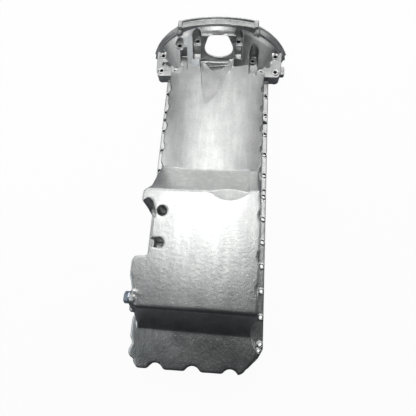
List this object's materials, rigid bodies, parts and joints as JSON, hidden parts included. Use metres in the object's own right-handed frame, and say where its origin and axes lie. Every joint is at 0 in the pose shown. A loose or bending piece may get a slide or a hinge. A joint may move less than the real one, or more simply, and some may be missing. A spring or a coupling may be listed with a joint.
{
  "type": "engine oil pan",
  "caption": "Cast aluminium oil pan for an in-line truck engine with a deep sump, a bolted rail, a flywheel bell lower half and a drain plug.",
  "frame": {"origin": "centre of the footprint, on the gasket face", "axes": "+Y towards the flywheel end, +Z the way the pan hangs from the engine, so it rests upside down on its gasket face"},
  "size_m": [0.5092, 1.104, 0.208],
  "materials": {
    "cast_aluminium": "as-cast aluminium, lightly blasted, with machined seats",
    "zinc_plated_steel": "blue zinc plated steel",
    "washer_aluminium": "soft aluminium sealing washer"
  },
  "bodies": {
    "root": {"pan_casting": "cast_aluminium", "drain_plug": "zinc_plated_steel", "drain_plug_washer": "washer_aluminium"}
  },
  "joints": []
}
